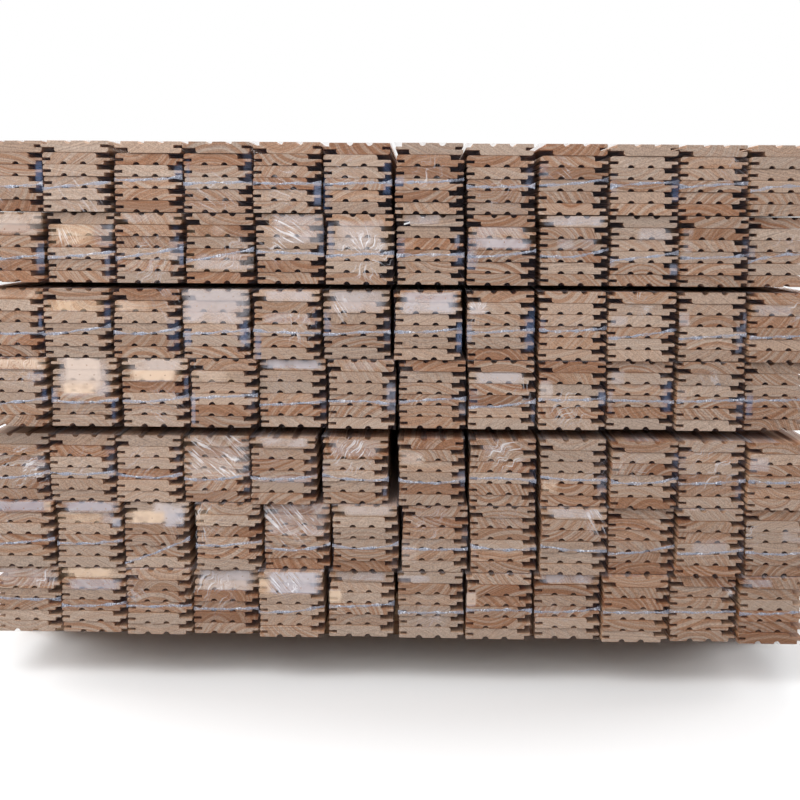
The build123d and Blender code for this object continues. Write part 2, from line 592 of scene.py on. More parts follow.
@dataclass(frozen=True)
class SeamFinish:
    """The welded, ruffled edge of the film: bluish grey, with crimps and bright glints."""

    name: str = "film_seam"
    cool: Triple = (0.245, 0.26, 0.325)
    white: Triple = (0.64, 0.65, 0.70)
    roughness: float = 0.25
    crimp_rates: Triple = (330.0, 170.0, 0.0)
    bright_edges: Pair = (0.5, 0.7)
    body_edges: Pair = (0.25, 0.6)
    body_least: float = 0.55
    bright_cover: float = 0.3

    def build(self) -> bpy.types.Material:
        """Make the material.

        Returns:
            The seam's material.
        """
        graph = Graph(self.name)
        place = graph.mark(Mark.FILM)
        cover, glint, seed = graph.split(graph.mark(Mark.HAZE_GLARE))
        crimps = graph.noise(graph.scaled(place, self.crimp_rates, seed), roughness=0.6)
        bright = graph.times(graph.span(crimps, *self.bright_edges), glint)
        colour = graph.blend(bright, self.cool, self.white)
        alpha = graph.times(cover, graph.span(crimps, *self.body_edges, self.body_least, 1.0))
        alpha = graph.line(bright, self.bright_cover, alpha, clamp=True)
        return graph.finish(Base_Color=colour, Roughness=self.roughness, Alpha=alpha)


@dataclass(frozen=True)
class Ripple:
    """A smooth, uneven line made of a few waves, from about -1 to 1."""

    rates: np.ndarray
    phases: np.ndarray
    gain: float = 1.6

    @classmethod
    def seeded(cls, rng: np.random.Generator, shortest: float, longest: float,
               waves: int = 4) -> "Ripple":
        """Draw the waves.

        Args:
            rng: The source of random numbers.
            shortest: The shortest wave, in metres.
            longest: The longest wave.
            waves: How many there are.

        Returns:
            The ripple.
        """
        lengths = rng.uniform(shortest, longest, waves)
        return cls(math.tau / lengths, rng.uniform(0.0, math.tau, waves))

    def at(self, places: np.ndarray) -> np.ndarray:
        """Read the ripple at some places along the line."""
        waves = np.sin(np.multiply.outer(places, self.rates) + self.phases)
        return waves.mean(axis=-1) * self.gain


@dataclass(frozen=True)
class BoardSection:
    """The section of a tongue-and-groove board, face up, with its slot on the left."""

    width: float = 118.0 * MM
    thickness: float = 20.0 * MM
    face_width: float = 94.5 * MM
    face_rounding: float = 5.0 * MM
    tongue_reach: float = 11.0 * MM
    tongue_thickness: float = 4.8 * MM
    tongue_depth: float = 8.8 * MM
    slot_reach: float = 14.0 * MM
    slot_play: float = 0.2 * MM
    groove_width: float = 12.0 * MM
    groove_depth: float = 5.0 * MM
    groove_inset: float = 36.5 * MM
    groove_spacing: float = 34.5 * MM
    easing: float = 1.0 * MM
    rounding_steps: int = 5
    groove_steps: int = 8

    def arc(self, centre: Pair, radius: float, start: float, end: float,
            steps: int) -> list[Pair]:
        """Place points along an arc, both ends included.

        Args:
            centre: The arc's centre.
            radius: Its radius.
            start: Its first angle, in degrees.
            end: Its last angle.
            steps: How many steps it takes.

        Returns:
            The points.
        """
        angles = [math.radians(start + (end - start) * step / steps) for step in range(steps + 1)]
        return [(centre[0] + radius * math.cos(angle), centre[1] + radius * math.sin(angle))
                for angle in angles]

    def groove(self, middle: float) -> list[Pair]:
        """Place the points of one half-round groove in the back, left to right."""
        half = self.groove_width / 2
        radius = (half ** 2 + self.groove_depth ** 2) / (2 * self.groove_depth)
        rise = self.groove_depth - radius
        side = math.degrees(math.atan2(-rise, half))
        return self.arc((middle, rise), radius, 180.0 - side, side, self.groove_steps)

    def outline(self, lay: Lay) -> np.ndarray:
        """Draw the section's outline, anticlockwise as seen from the front.

        Args:
            lay: Which way up the board lies.

        Returns:
            One row of X and Z for each point, from the section's lower left corner.
        """
        back = self.width - self.tongue_reach
        tongue_top = self.thickness - self.tongue_depth
        tongue_bottom = tongue_top - self.tongue_thickness
        ease = self.easing
        round_level = self.thickness - self.face_rounding
        face_from, face_to = self.face_rounding, self.face_width - self.face_rounding
        slot_top, slot_bottom = tongue_top + self.slot_play, tongue_bottom - self.slot_play
        steps = self.rounding_steps
        points = [
            (ease, 0.0),
            *self.groove(self.groove_inset),
            *self.groove(self.groove_inset + self.groove_spacing),
            (back - ease, 0.0), (back, ease), (back, tongue_bottom),
            (self.width - ease, tongue_bottom), (self.width, tongue_bottom + ease),
            (self.width, tongue_top - ease), (self.width - ease, tongue_top),
            (self.face_width, tongue_top),
            *self.arc((face_to, round_level), self.face_rounding, 0.0, 90.0, steps),
            *self.arc((face_from, round_level), self.face_rounding, 90.0, 180.0, steps),
            (0.0, slot_top), (self.slot_reach, slot_top),
            (self.slot_reach, slot_bottom), (0.0, slot_bottom),
            (0.0, ease),
        ]
        drawn = np.array(points)
        if lay is Lay.TURNED:
            drawn = np.array([self.width, self.thickness]) - drawn
        return drawn


def shrunk(outline: np.ndarray, inset: float) -> np.ndarray:
    """Move an anticlockwise outline inwards.

    Args:
        outline: One row for each point.
        inset: How far its sides move.

    Returns:
        The smaller outline, with as many points.
    """
    before = outline - np.roll(outline, 1, axis=0)
    after = np.roll(outline, -1, axis=0) - outline
    inward = []
    for edge in (before, after):
        length = np.linalg.norm(edge, axis=1, keepdims=True)
        inward.append(np.stack([-edge[:, 1], edge[:, 0]], axis=1) / np.maximum(length, 1e-9))
    middle = inward[0] + inward[1]
    reach = np.maximum(np.sum(middle * inward[0], axis=1, keepdims=True), 0.5)
    return outline + middle / reach * inset


def tube(rings: int, around: int) -> list[list[int]]:
    """List the faces between rings of corners that follow each other along +Y.

    Args:
        rings: How many rings there are.
        around: How many corners each has, anticlockwise as seen from the front.

    Returns:
        The faces, turned outwards.
    """
    faces = []
    for ring in range(rings - 1):
        near, far = ring * around, (ring + 1) * around
        for corner in range(around):
            following = (corner + 1) % around
            faces.append([near + corner, far + corner, far + following, near + following])
    return faces


def closed_tube(rings: int, around: int) -> list[list[int]]:
    """List the faces of a tube as tube() does, with a flat cap at each end."""
    last = (rings - 1) * around
    caps = [list(range(around)), list(range(last + around - 1, last - 1, -1))]
    return tube(rings, around) + caps


def ring_at(section: np.ndarray, along: float) -> np.ndarray:
    """Set a section of X and Z rows at a place along Y."""
    return np.column_stack([section[:, 0], np.full(len(section), along), section[:, 1]])


def spread(steps: int) -> np.ndarray:
    """Space places from 0 to 1, closer together towards both ends."""
    even = np.linspace(0.0, 1.0, steps + 1)
    return even - 0.5 * np.sin(math.tau * even) / math.tau


class WoodTone(Enum):
    """The kinds of softwood in the stack."""

    PLAIN = "plain"
    BANDED = "banded"
    MIXED = "mixed"
    HEART = "heart"


@dataclass(frozen=True)
class ToneRange:
    """How one kind of wood looks, and how common it is.

    Args:
        share: How much of the stack is of this kind.
        tan: The least and most tan it is.
        contrast: The least and most its bands and rings show.
        heart: How far the reddish heartwood reaches past the board's middle, in metres, if at all.
    """

    share: float
    tan: Pair
    contrast: Pair
    heart: Pair | None = None


TONES = {
    WoodTone.PLAIN: ToneRange(0.42, (0.0, 0.45), (0.12, 0.45)),
    WoodTone.BANDED: ToneRange(0.31, (0.2, 0.8), (0.55, 1.0)),
    WoodTone.MIXED: ToneRange(0.15, (0.2, 0.8), (0.5, 1.0), (-0.03, 0.03)),
    WoodTone.HEART: ToneRange(0.12, (0.6, 1.0), (0.4, 0.8), (0.5, 1.0)),
}


@dataclass
class GrainDraw:
    """Draws how one board's wood looks.

    Args:
        rng: The source of random numbers.
    """

    rng: np.random.Generator
    nearest_pith: float = 34.0 * MM
    farthest_pith: float = 170.0 * MM
    finest_ring: float = 2.0 * MM
    widest_ring: float = 4.6 * MM
    ring_skew: float = 1.6
    pith_spread: float = 58.0
    last_seed: float = 90.0
    shade_range: Pair = (0.86, 1.12)

    def draw(self, middle: Pair) -> tuple[np.ndarray, dict[Mark, np.ndarray]]:
        """Draw one board's look.

        Args:
            middle: The middle of its section.

        Returns:
            The pith's place in the section, and the attributes that all the board shares.
        """
        rng = self.rng
        kinds = list(TONES.values())
        kind = kinds[rng.choice(len(kinds), p=[tone.share for tone in kinds])]
        distance = rng.uniform(self.nearest_pith, self.farthest_pith)
        turn = rng.choice([-90.0, 90.0]) + rng.uniform(-self.pith_spread, self.pith_spread)
        angle = math.radians(turn)
        pith = np.array([middle[0] + distance * math.cos(angle),
                         middle[1] + distance * math.sin(angle)])
        room = self.widest_ring - self.finest_ring
        spacing = self.finest_ring + room * rng.uniform() ** self.ring_skew
        look = np.array([rng.uniform(*kind.tan), spacing, rng.uniform(0.0, self.last_seed)])
        reach = distance + rng.uniform(*kind.heart) if kind.heart else -1.0
        heart = np.array([reach, rng.uniform(*kind.contrast), rng.uniform(*self.shade_range)])
        return pith, {Mark.LOOK: look, Mark.HEART: heart}


@dataclass
class BoardTier:
    """One tier's boards, six to a pack, with the top one of each pack turned face down.

    Args:
        number: The tier, from the ground up.
        rng: The source of random numbers.
    """

    number: int
    rng: np.random.Generator
    section: BoardSection = BoardSection()
    rows: int = 6
    end_easing: float = 0.4 * MM

    @property
    def node(self) -> str:
        """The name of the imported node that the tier's boards replace."""
        return f"tier_{self.number}_boards"

    def add_board(self, maker: MeshMaker, block: Block, lay: Lay) -> None:
        """Add one board.

        Args:
            maker: Gathers the tier's mesh.
            block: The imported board's box.
            lay: Which way up the board lies.
        """
        outline = self.section.outline(lay)
        pith, marks = GrainDraw(self.rng).draw((self.section.width / 2, self.section.thickness / 2))
        near, far = block.low[1], block.high[1]
        small = shrunk(outline, self.end_easing)
        rings = [ring_at(small, near), ring_at(outline, near + self.end_easing),
                 ring_at(outline, far - self.end_easing), ring_at(small, far)]
        corners = np.concatenate(rings)
        grain = corners - np.array([pith[0], 0.0, pith[1]])
        corners = corners + np.array([block.low[0], 0.0, block.low[2]])
        maker.add(corners, closed_tube(len(rings), len(outline)), {Mark.GRAIN: grain, **marks})

    def build(self, wood: bpy.types.Material) -> bpy.types.Object:
        """Build the tier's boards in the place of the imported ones.

        Args:
            wood: Their material.

        Returns:
            The boards, as one piece.
        """
        maker = MeshMaker(f"board_tier_{self.number}")
        blocks = blocks_of(self.node)
        levels = sorted({round(block.low[2], 3) for block in blocks})
        for block in blocks:
            top_row = levels.index(round(block.low[2], 3)) == self.rows - 1
            self.add_board(maker, block, Lay.TURNED if top_row else Lay.FACE_UP)
        piece = maker.build([wood])
        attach(piece, BODY)
        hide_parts(self.node)
        return piece


class End(Enum):
    """The two ends of a pack, and which way each faces along Y."""

    FRONT = -1
    BACK = 1


@dataclass(frozen=True)
class Weld:
    """How the weld runs across one end of a pack, in millimetres.

    Args:
        level: The height of its middle above the pack's underside.
        tilt: How much higher its right end is than its left.
        bow: How much its middle stands above the line between its ends.
    """

    level: float
    tilt: float
    bow: float


@dataclass(frozen=True)
class Glare:
    """A patch of milky film over one pack's front end, painted where the film reflects the sky, in
    millimetres.

    Args:
        across: How far its middle is from the pack's left side.
        up: How far it is above the pack's underside.
        wide: Its width.
        high: Its height.
        strength: How strong it is, from 0 to 1.
        warmth: How warm its colour is, from -1, blue, to 1, peach.
    """

    across: float
    up: float
    wide: float
    high: float
    strength: float
    warmth: float = 0.0

    # Where a patch ends and how wide its soft edge is, in halves of its size
    side_end: ClassVar[float] = 1.22
    side_edge: ClassVar[float] = 0.44
    top_end: ClassVar[float] = 1.14
    top_edge: ClassVar[float] = 0.24

    def cover(self, places: np.ndarray) -> np.ndarray:
        """Work out how much of it there is at some places of the end, in metres."""
        off_x = np.abs(places[..., 0] / MM - self.across) / (self.wide / 2)
        off_z = np.abs(places[..., 1] / MM - self.up) / (self.high / 2)
        sideways = np.clip((self.side_end - off_x) / self.side_edge, 0.0, 1.0)
        upwards = np.clip((self.top_end - off_z) / self.top_edge, 0.0, 1.0)
        return self.strength * sideways * upwards


@dataclass(frozen=True)
class Crease:
    """The fine creases in the film over one end of a pack, raised a little in the film and with
    painted highlights along their ridges, in millimetres.

    Args:
        across: How far their middle is from the pack's left side.
        up: How far it is above the pack's underside.
        reach: How far they spread.
        strength: How strong they are, from 0 to 1.
        slope: The way they run, in degrees from level, or None where they spread from their middle.
    """

    across: float
    up: float
    reach: float
    strength: float
    slope: float | None = None

    fan_spread: ClassVar[float] = 32.0 * MM     # between creases that spread, for each radian
    fan_hub: ClassVar[float] = 4.0 * MM
    fan_edge: ClassVar[float] = 8.0 * MM
    fade_share: ClassVar[float] = 0.45

    def fold(self, places: np.ndarray, sway: np.ndarray) -> np.ndarray:
        """Work out the creases' own coordinates, and their strength.

        Args:
            places: X and Z of some points of the end, in metres.
            sway: How much each point is moved across the creases.

        Returns:
            For each point the place across the creases, the place along them, and the strength.
        """
        dx = places[..., 0] - self.across * MM
        dz = places[..., 1] - self.up * MM
        far = np.hypot(dx, dz)
        if self.slope is None:
            over = np.arctan2(dz, dx) * self.fan_spread
            along = far
            near = np.clip((far - self.fan_hub) / self.fan_edge, 0.0, 1.0)
        else:
            turn = math.radians(self.slope)
            over = dz * math.cos(turn) - dx * math.sin(turn)
            along = dx * math.cos(turn) + dz * math.sin(turn)
            near = 1.0
        reach = self.reach * MM
        fade = np.clip((reach - far) / (self.fade_share * reach), 0.0, 1.0) * near
        return np.stack([over + sway, along, fade * self.strength], axis=-1)


@dataclass(frozen=True)
class EndLook:
    """How the film lies over one end of a pack: its weld, milky patches and creases."""

    weld: Weld
    glares: list[Glare]
    crease: Crease
    wander: Ripple
    pucker: Ripple
    wander_reach: float = 0.7

    def seam_at(self, across: np.ndarray, width: float) -> np.ndarray:
        """Work out the weld's height at some places across the end.

        Args:
            across: The places.
            width: The pack's width.

        Returns:
            The height at each place.
        """
        share = np.clip(across / width, 0.0, 1.0)
        rise = self.weld.tilt * (share - 0.5) + self.weld.bow * (4.0 * share * (1.0 - share) - 0.5)
        return (self.weld.level + rise + self.wander_reach * self.wander.at(across)) * MM


# How common each bluish painted sky reflection at an end's edges is, where it is across the pack,
# and how far that varies, in millimetres
EDGE_PATCHES = ((0.7, 112.0, 6.0), (0.4, 114.0, 4.0), (0.4, 7.0, 4.0))


@dataclass
class FilmWrap:
    """The shrink film round one pack: a closed bag with a ruffled weld across each end.

    Args:
        rng: The source of random numbers.
        block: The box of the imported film.
    """

    rng: np.random.Generator
    block: Block
    lean: float = 1.5 * MM
    turned_from: float = 103.0 * MM
    turned_to: float = 112.0 * MM
    seam_bow: float = 5.0 * MM
    row_pitch: float = 20.5 * MM
    tongue_level: float = 9.4 * MM
    board_middle: float = 10.6 * MM
    side_dip: float = 1.3 * MM
    dip_from: float = 0.12
    left_dip_share: float = 0.3
    corner_pull: float = 0.25 * MM
    end_rounding: float = 1.1 * MM
    end_inset: float = 0.385 * MM
    tent_rise: float = 1.8 * MM
    tent_reach: float = 30.0 * MM
    tent_corner: float = 0.6
    tent_curve: float = 1.6
    crease_rise: float = 0.9 * MM
    crease_edge: float = 6.0 * MM
    crease_sway: float = 5.0 * MM
    sleeve_crumple: float = 0.5 * MM
    # The sleeve's creases also get painted highlights along their ridges
    sleeve_folds: Triple = (0.3, 0.08, 0.4)     # rate round the sleeve, rate along it, strength
    columns: int = 32
    rows: int = 30
    sleeve_rings: int = 7
    # Milky film with painted sky reflection along the weld, cool by default
    seam_haze_glare: float = 0.26
    seam_haze_reach: float = 3.5 * MM
    seam_warmth: float = -0.5
    # The top's haze is partly milky film and partly a painted sheen, lighter than the sides'
    top_haze_sheen: float = 0.34
    side_haze: float = 0.07
    side_warmth: float = 0.12
    haze_curve: float = 1.25
    open_height: float = 450.0 * MM     # where a pack stands high enough to mirror the sky
    ruffle_steps: int = 64
    ruffle_inset: float = 0.6 * MM
    ruffle_height: float = 4.0 * MM
    ruffle_least: float = 1.8 * MM
    ruffle_swing: float = 2.1 * MM
    ruffle_fray: float = 0.4 * MM
    ruffle_bulge: float = 1.5 * MM
    ruffle_flare: float = 0.9
    ruffle_flare_reach: float = 5.0 * MM

    def __post_init__(self) -> None:
        """Work out the pack's own sizes and draw its seed."""
        self.left = self.block.low[0] + self.lean
        self.width = self.block.size[0] - self.lean
        self.bottom = self.block.low[2]
        self.height = self.block.size[2]
        self.seed = self.rng.uniform(0.0, 90.0)

    def lean_at(self, up: np.ndarray) -> np.ndarray:
        """Work out how far to the left the film leans at some heights."""
        share = np.clip((up - self.turned_from) / (self.turned_to - self.turned_from), 0.0, 1.0)
        return self.lean * share

    def dip_at(self, up: np.ndarray) -> np.ndarray:
        """Work out how far the film dips in between one tongue and the next."""
        phase = (up - self.tongue_level) / self.row_pitch
        inside = np.sin(math.pi * np.clip(up / self.height, 0.0, 1.0)) > self.dip_from
        return self.side_dip * np.sin(math.pi * phase) ** 2 * inside

    def outline(self) -> np.ndarray:
        """Draw the film's outline round the pack, anticlockwise from the lower left corner.

        Returns:
            One row of X and Z for each point, from the pack's lower left corner.
        """
        across = spread(self.columns) * self.width
        up = spread(self.rows) * self.height
        left = -self.lean_at(up) + self.left_dip_share * self.dip_at(up)
        right = self.width - self.lean_at(up) - self.dip_at(up)
        top = across - self.lean
        points = [
            *zip(across[:-1], np.zeros(self.columns)), *zip(right[:-1], up[:-1]),
            *zip(top[:0:-1], np.full(self.columns, self.height)), *zip(left[:0:-1], up[:0:-1]),
        ]
        drawn = np.array(points)
        pull = self.corner_pull
        corner_rows = np.cumsum([0, self.columns, self.rows, self.columns])
        for row, (turn_x, turn_z) in zip(corner_rows, ((1, 1), (-1, 1), (-1, -1), (1, -1))):
            drawn[row] += (turn_x * pull, turn_z * pull)
        return drawn

    def filled(self, ring: np.ndarray) -> np.ndarray:
        """Fill an outline with a grid of points.

        Args:
            ring: The outline's points, anticlockwise from the lower left corner.

        Returns:
            The points, by column and row.
        """
        columns, rows = self.columns, self.rows
        bottom = ring[:columns + 1]
        right = ring[columns:columns + rows + 1]
        top = ring[columns + rows:2 * columns + rows + 1][::-1]
        left = np.concatenate([ring[2 * columns + rows:], ring[:1]])[::-1]
        u = spread(columns)[:, None, None]
        v = spread(rows)[None, :, None]
        upright = (1 - v) * bottom[:, None] + v * top[:, None]
        level = (1 - u) * left[None] + u * right[None]
        corners = ((1 - u) * (1 - v) * bottom[0] + u * (1 - v) * bottom[-1]
                   + (1 - u) * v * top[0] + u * v * top[-1])
        return upright + level - corners

    def fold_at(self, places: np.ndarray, look: EndLook) -> np.ndarray:
        """Work out the creases' coordinates and strength at some places of an end."""
        sway = self.crease_sway * look.wander.at(places[..., 0] * 1.3 + places[..., 1])
        return look.crease.fold(places, sway)

    def proud(self, places: np.ndarray, look: EndLook) -> np.ndarray:
        """Work out how far the film stands off the board ends.

        Args:
            places: X and Z of some points of the end.
            look: How the film lies over the end.

        Returns:
            The distance for each point.
        """
        across, up = places[..., 0], places[..., 1]
        off_seam = np.abs(up - look.seam_at(across, self.width))
        middle = np.sin(math.pi * np.clip(across / self.width, 0.0, 1.0)) ** self.tent_corner
        slope = np.clip(1.0 - off_seam / self.tent_reach, 0.0, 1.0) ** self.tent_curve
        tent = self.tent_rise * slope * middle
        fold = self.fold_at(places, look)
        edge = np.minimum.reduce([across, self.width - across, up, self.height - up])
        creases = np.clip(look.pucker.at(fold[..., 0]), 0.0, 1.0) ** 2 * fold[..., 2]
        return tent + self.crease_rise * creases * np.clip(edge / self.crease_edge, 0.0, 1.0)

    def haze_glare_at(self, places: np.ndarray, look: EndLook) -> np.ndarray:
        """Work out how much milky haze and painted sky reflection the film has, and how warm it is,
        at some places of an end.

        Args:
            places: X and Z of the points.
            look: How the film lies over the end.

        Returns:
            For each point the cover, the warmth and the pack's seed.
        """
        near_seam = np.abs(places[..., 1] - look.seam_at(places[..., 0], self.width))
        # Painted sky reflection along the weld
        cover = self.seam_haze_glare * np.exp(-near_seam / self.seam_haze_reach)
        # The strongest patch at a place sets most of its warmth
        weight = cover ** 3 + 1e-6
        warmth = self.seam_warmth * weight
        for glare in look.glares:
            own = glare.cover(places)
            warmth += glare.warmth * own ** 3
            weight += own ** 3
            cover = np.maximum(cover, own)
        return np.stack([cover ** self.haze_curve, warmth / weight,
                         np.full_like(cover, self.seed)], axis=-1)

    def edge_glares(self, level: float) -> list[Glare]:
        """Draw the bluish painted reflections of the sky at an end's edges, weaker in the low
        tiers, which mirror less sky.

        Args:
            level: The weld's level, in millimetres.

        Returns:
            None to three patches.
        """
        rng = self.rng
        # Low packs mirror less sky, so their painted reflections are weaker
        sky_mirror_share = np.clip(self.bottom / self.open_height, 0.3, 1.0)
        drawn = []
        for share, across, reach in EDGE_PATCHES:
            if rng.uniform() < share:
                drawn.append(Glare(
                    across + rng.uniform(-reach, reach), level + rng.uniform(-24.0, 30.0),
                    rng.uniform(7.0, 20.0), rng.uniform(16.0, 60.0),
                    rng.uniform(0.3, 0.6) * sky_mirror_share, rng.uniform(-1.0, -0.4) * sky_mirror_share))
        return drawn

    def spare_glares(self) -> list[Glare]:
        """Draw milky patches of painted sky reflection over whole boards, for an end whose own
        aren't known.

        Returns:
            None to two patches.
        """
        rng = self.rng
        drawn = []
        for _ in range(rng.choice([0, 1, 2], p=[0.35, 0.45, 0.2])):
            row = rng.choice([2, 3, 4, 5], p=[0.1, 0.2, 0.3, 0.4])
            drawn.append(Glare(
                rng.uniform(20.0, 100.0), (self.board_middle + self.row_pitch * row) / MM,
                rng.uniform(25.0, 110.0), rng.choice([16.0, 17.0, 36.0]),
                rng.uniform(0.3, 0.7), rng.choice([0.0, 0.2, 0.8])))
        return drawn

    def drawn_crease(self) -> Crease:
        """Draw an end's creases, for an end whose own aren't known."""
        rng = self.rng
        slope = rng.choice([-55.0, -40.0, 35.0, 60.0]) + rng.uniform(-8.0, 8.0)
        return Crease(
            rng.uniform(10.0, 110.0), rng.choice([40.0, 75.0, 100.0]), rng.uniform(20.0, 45.0),
            rng.choice([0.0, 0.35, 0.6, 0.9]), None if rng.uniform() < 0.4 else slope)

    def drawn_look(self, weld: Weld | None, glares: list[Glare], crease: Crease | None) -> EndLook:
        """Draw how the film lies over one end, where it isn't given.

        Args:
            weld: How the weld runs, or None to draw it.
            glares: The patches of painted sky reflection that are known.
            crease: The creases, or None to draw them.

        Returns:
            The end's look.
        """
        rng = self.rng
        glares = glares + self.edge_glares(weld.level if weld else 50.0)
        drawn_weld = Weld(rng.uniform(43.0, 56.0), rng.uniform(-4.0, 15.0), rng.uniform(-6.0, 1.0))
        spare = self.spare_glares()
        drawn_crease = self.drawn_crease()
        if weld is None:
            glares = glares + spare
        return EndLook(weld or drawn_weld, glares, crease or drawn_crease,
                       Ripple.seeded(rng, 0.02, 0.07), Ripple.seeded(rng, 0.006, 0.02, 5))

    def add_to(self, maker: MeshMaker, weld: Weld, glares: list[Glare],
               crease: Crease | None) -> None:
        """Add the film's bag and its two welds.

        Args:
            maker: Gathers the tier's mesh.
            weld: How the front weld runs.
            glares: Patches of painted sky reflection over the front end.
            crease: The front end's creases, or None to draw them.
        """
        looks = {End.FRONT: self.drawn_look(weld, glares, crease),
                 End.BACK: self.drawn_look(None, [], None)}
        skins = {End.FRONT: self.block.low[1] + self.seam_bow,
                 End.BACK: self.block.high[1] - self.seam_bow}
        self.add_bag(maker, looks, skins)
        for end in End:
            self.add_ruffle(maker, looks[end], skins[end], end)

    def sleeve(self, outline: np.ndarray, small: np.ndarray,
               skins: dict[End, float]) -> tuple[np.ndarray, np.ndarray, np.ndarray]:
        """Shape the bag's sides, from the front end's edge to the back end's.

        Args:
            outline: The film's outline round the pack.
            small: The same, at the ends' edges.
            skins: Where the film lies along Y at each end.

        Returns:
            The corners ring by ring, whether each is on a side, and its crease coordinates.
        """
        near, far = skins[End.FRONT], skins[End.BACK]
        crumple = Ripple.seeded(self.rng, 0.006, 0.05, 5)
        inward = (shrunk(outline, MM) - outline) / MM
        places = np.linspace(near + self.end_rounding, far - self.end_rounding, self.sleeve_rings)
        rings = [(small, near + self.end_inset, 0.0)]
        for step, along in enumerate(places):
            swing = 0.0 if step in (0, self.sleeve_rings - 1) else self.sleeve_crumple
            inset = np.clip(crumple.at(outline.sum(axis=1) + along), 0.0, 1.0)[:, None] * swing
            rings.append((outline + inward * inset, along, 1.0))
        rings.append((small, far - self.end_inset, 0.0))
        round_rate, along_rate, strength = self.sleeve_folds
        girth = np.cumsum(np.linalg.norm(np.roll(outline, -1, axis=0) - outline, axis=1))
        girth = girth * round_rate
        corners = [ring_at(ring, along) for ring, along, _ in rings]
        folds = [np.column_stack([girth, np.full(len(girth), along * along_rate),
                                  np.full(len(girth), strength * side)])
                 for _, along, side in rings]
        sides = np.repeat([side for _, _, side in rings], len(outline))
        return np.concatenate(corners), sides, np.concatenate(folds)

    def add_bag(self, maker: MeshMaker, looks: dict[End, EndLook],
                skins: dict[End, float]) -> None:
        """Add the closed bag.

        Args:
            maker: Gathers the tier's mesh.
            looks: How the film lies over each end.
            skins: Where it lies along Y at each end.
        """
        outline = self.outline()
        around = len(outline)
        small = shrunk(outline, self.end_inset)
        inner = self.filled(small)[1:-1, 1:-1].reshape(-1, 2)
        corners, sides, folds = self.sleeve(outline, small, skins)
        faces = tube(len(corners) // around, around)
        on_top = corners[:, 2] > self.height - 1.0 * MM
        # A painted sheen with the haze on the top, a thin haze on the sides
        haze_glares = np.column_stack([
            np.where(on_top, self.top_haze_sheen, self.side_haze) * sides,
            np.full(len(corners), self.side_warmth), np.full(len(corners), self.seed)])
        parts, all_folds, all_haze_glares = [corners], [folds], [haze_glares]
        total = len(corners)
        for end, ring_start in ((End.FRONT, 0), (End.BACK, len(corners) - around)):
            look = looks[end]
            depth = skins[end] + end.value * self.proud(inner, look)
            parts.append(np.column_stack([inner[:, 0], depth, inner[:, 1]]))
            all_folds.append(self.fold_at(inner, look))
            all_haze_glares.append(self.haze_glare_at(inner, look))
            rim = slice(ring_start, ring_start + around)
            haze_glares[rim] = self.haze_glare_at(small, look)
            folds[rim] = self.fold_at(small, look)
            faces.extend(self.cap_faces(ring_start, total, end))
            total += len(inner)
        places = np.concatenate(parts)
        on_side = np.concatenate([sides, np.zeros(total - len(corners))])
        marks = {Mark.FILM: np.column_stack([places[:, 0], places[:, 2], on_side]),
                 Mark.FOLD: np.concatenate(all_folds), Mark.HAZE_GLARE: np.concatenate(all_haze_glares)}
        maker.add(places + np.array([self.left, 0.0, self.bottom]), faces, marks)

    def cap_faces(self, ring_start: int, inner_start: int, end: End) -> list[list[int]]:
        """List the faces of one end of the bag.

        Args:
            ring_start: The first corner of the end's outline.
            inner_start: The first corner of the grid inside it.
            end: Which end it is.

        Returns:
            The faces, turned outwards.
        """
        columns, rows = self.columns, self.rows

        def corner(column: int, row: int) -> int:
            """Find the corner at a column and row of the whole grid."""
            if row == 0:
                return ring_start + column
            if column == columns:
                return ring_start + columns + row
            if row == rows:
                return ring_start + 2 * columns + rows - column
            if column == 0:
                return ring_start + 2 * (columns + rows) - row
            return inner_start + (column - 1) * (rows - 1) + row - 1

        faces = []
        for column in range(columns):
            for row in range(rows):
                face = [corner(column, row), corner(column + 1, row),
                        corner(column + 1, row + 1), corner(column, row + 1)]
                faces.append(face if end is End.FRONT else face[::-1])
        return faces

    def add_ruffle(self, maker: MeshMaker, look: EndLook, skin: float, end: End) -> None:
        """Add the ruffled weld across one end, as a thin closed strip.

        Args:
            maker: Gathers the tier's mesh.
            look: How the film lies over the end.
            skin: Where the film lies along Y.
            end: Which end it is.
        """
        rng = self.rng
        share = np.linspace(0.0, 1.0, self.ruffle_steps + 1)
        across = self.ruffle_inset + share * (self.width - 2 * self.ruffle_inset)
        middle = look.seam_at(across, self.width)
        across = across - self.lean_at(middle)
        to_side = np.minimum(share, 1.0 - share) * self.width
        flare = np.exp(-to_side / self.ruffle_flare_reach)
        swing = self.ruffle_swing * Ripple.seeded(rng, 0.015, 0.06, 5).at(across)
        height = np.maximum(self.ruffle_height + swing, self.ruffle_least)
        height = height * (1.0 + self.ruffle_flare * flare) / 2
        upper, lower = (
            middle + side * height + self.ruffle_fray * Ripple.seeded(rng, 0.003, 0.009).at(across)
            for side in (1, -1))
        crimp = Ripple.seeded(rng, 0.0028, 0.006, 5).at(across)
        off = self.proud(np.column_stack([across, middle]), look)
        swell = np.clip(0.6 + 0.5 * crimp, 0.15, 1.2) * np.sin(math.pi * share) ** 0.3
        bulge = np.minimum(off + self.ruffle_bulge * swell, self.seam_bow - 0.2 * MM)
        edge = off + 0.15 * MM
        strip = [(upper, edge), ((upper + middle) / 2, bulge * 0.93), (middle, bulge),
                 ((lower + middle) / 2, bulge * 0.9), (lower, edge), (middle, off - 0.1 * MM)]
        corners = np.concatenate([
            np.column_stack([across, skin + end.value * depth, up]) for up, depth in strip])
        body = np.clip(0.55 + 0.3 * Ripple.seeded(rng, 0.02, 0.08).at(across), 0.25, 0.85)
        glint = np.clip(0.35 + 0.65 * Ripple.seeded(rng, 0.02, 0.09).at(across), 0.05, 1.0)
        haze_glare = np.column_stack([body * (1 - 0.4 * flare), glint * (1 - 0.5 * flare),
                                np.full(len(across), self.seed)])
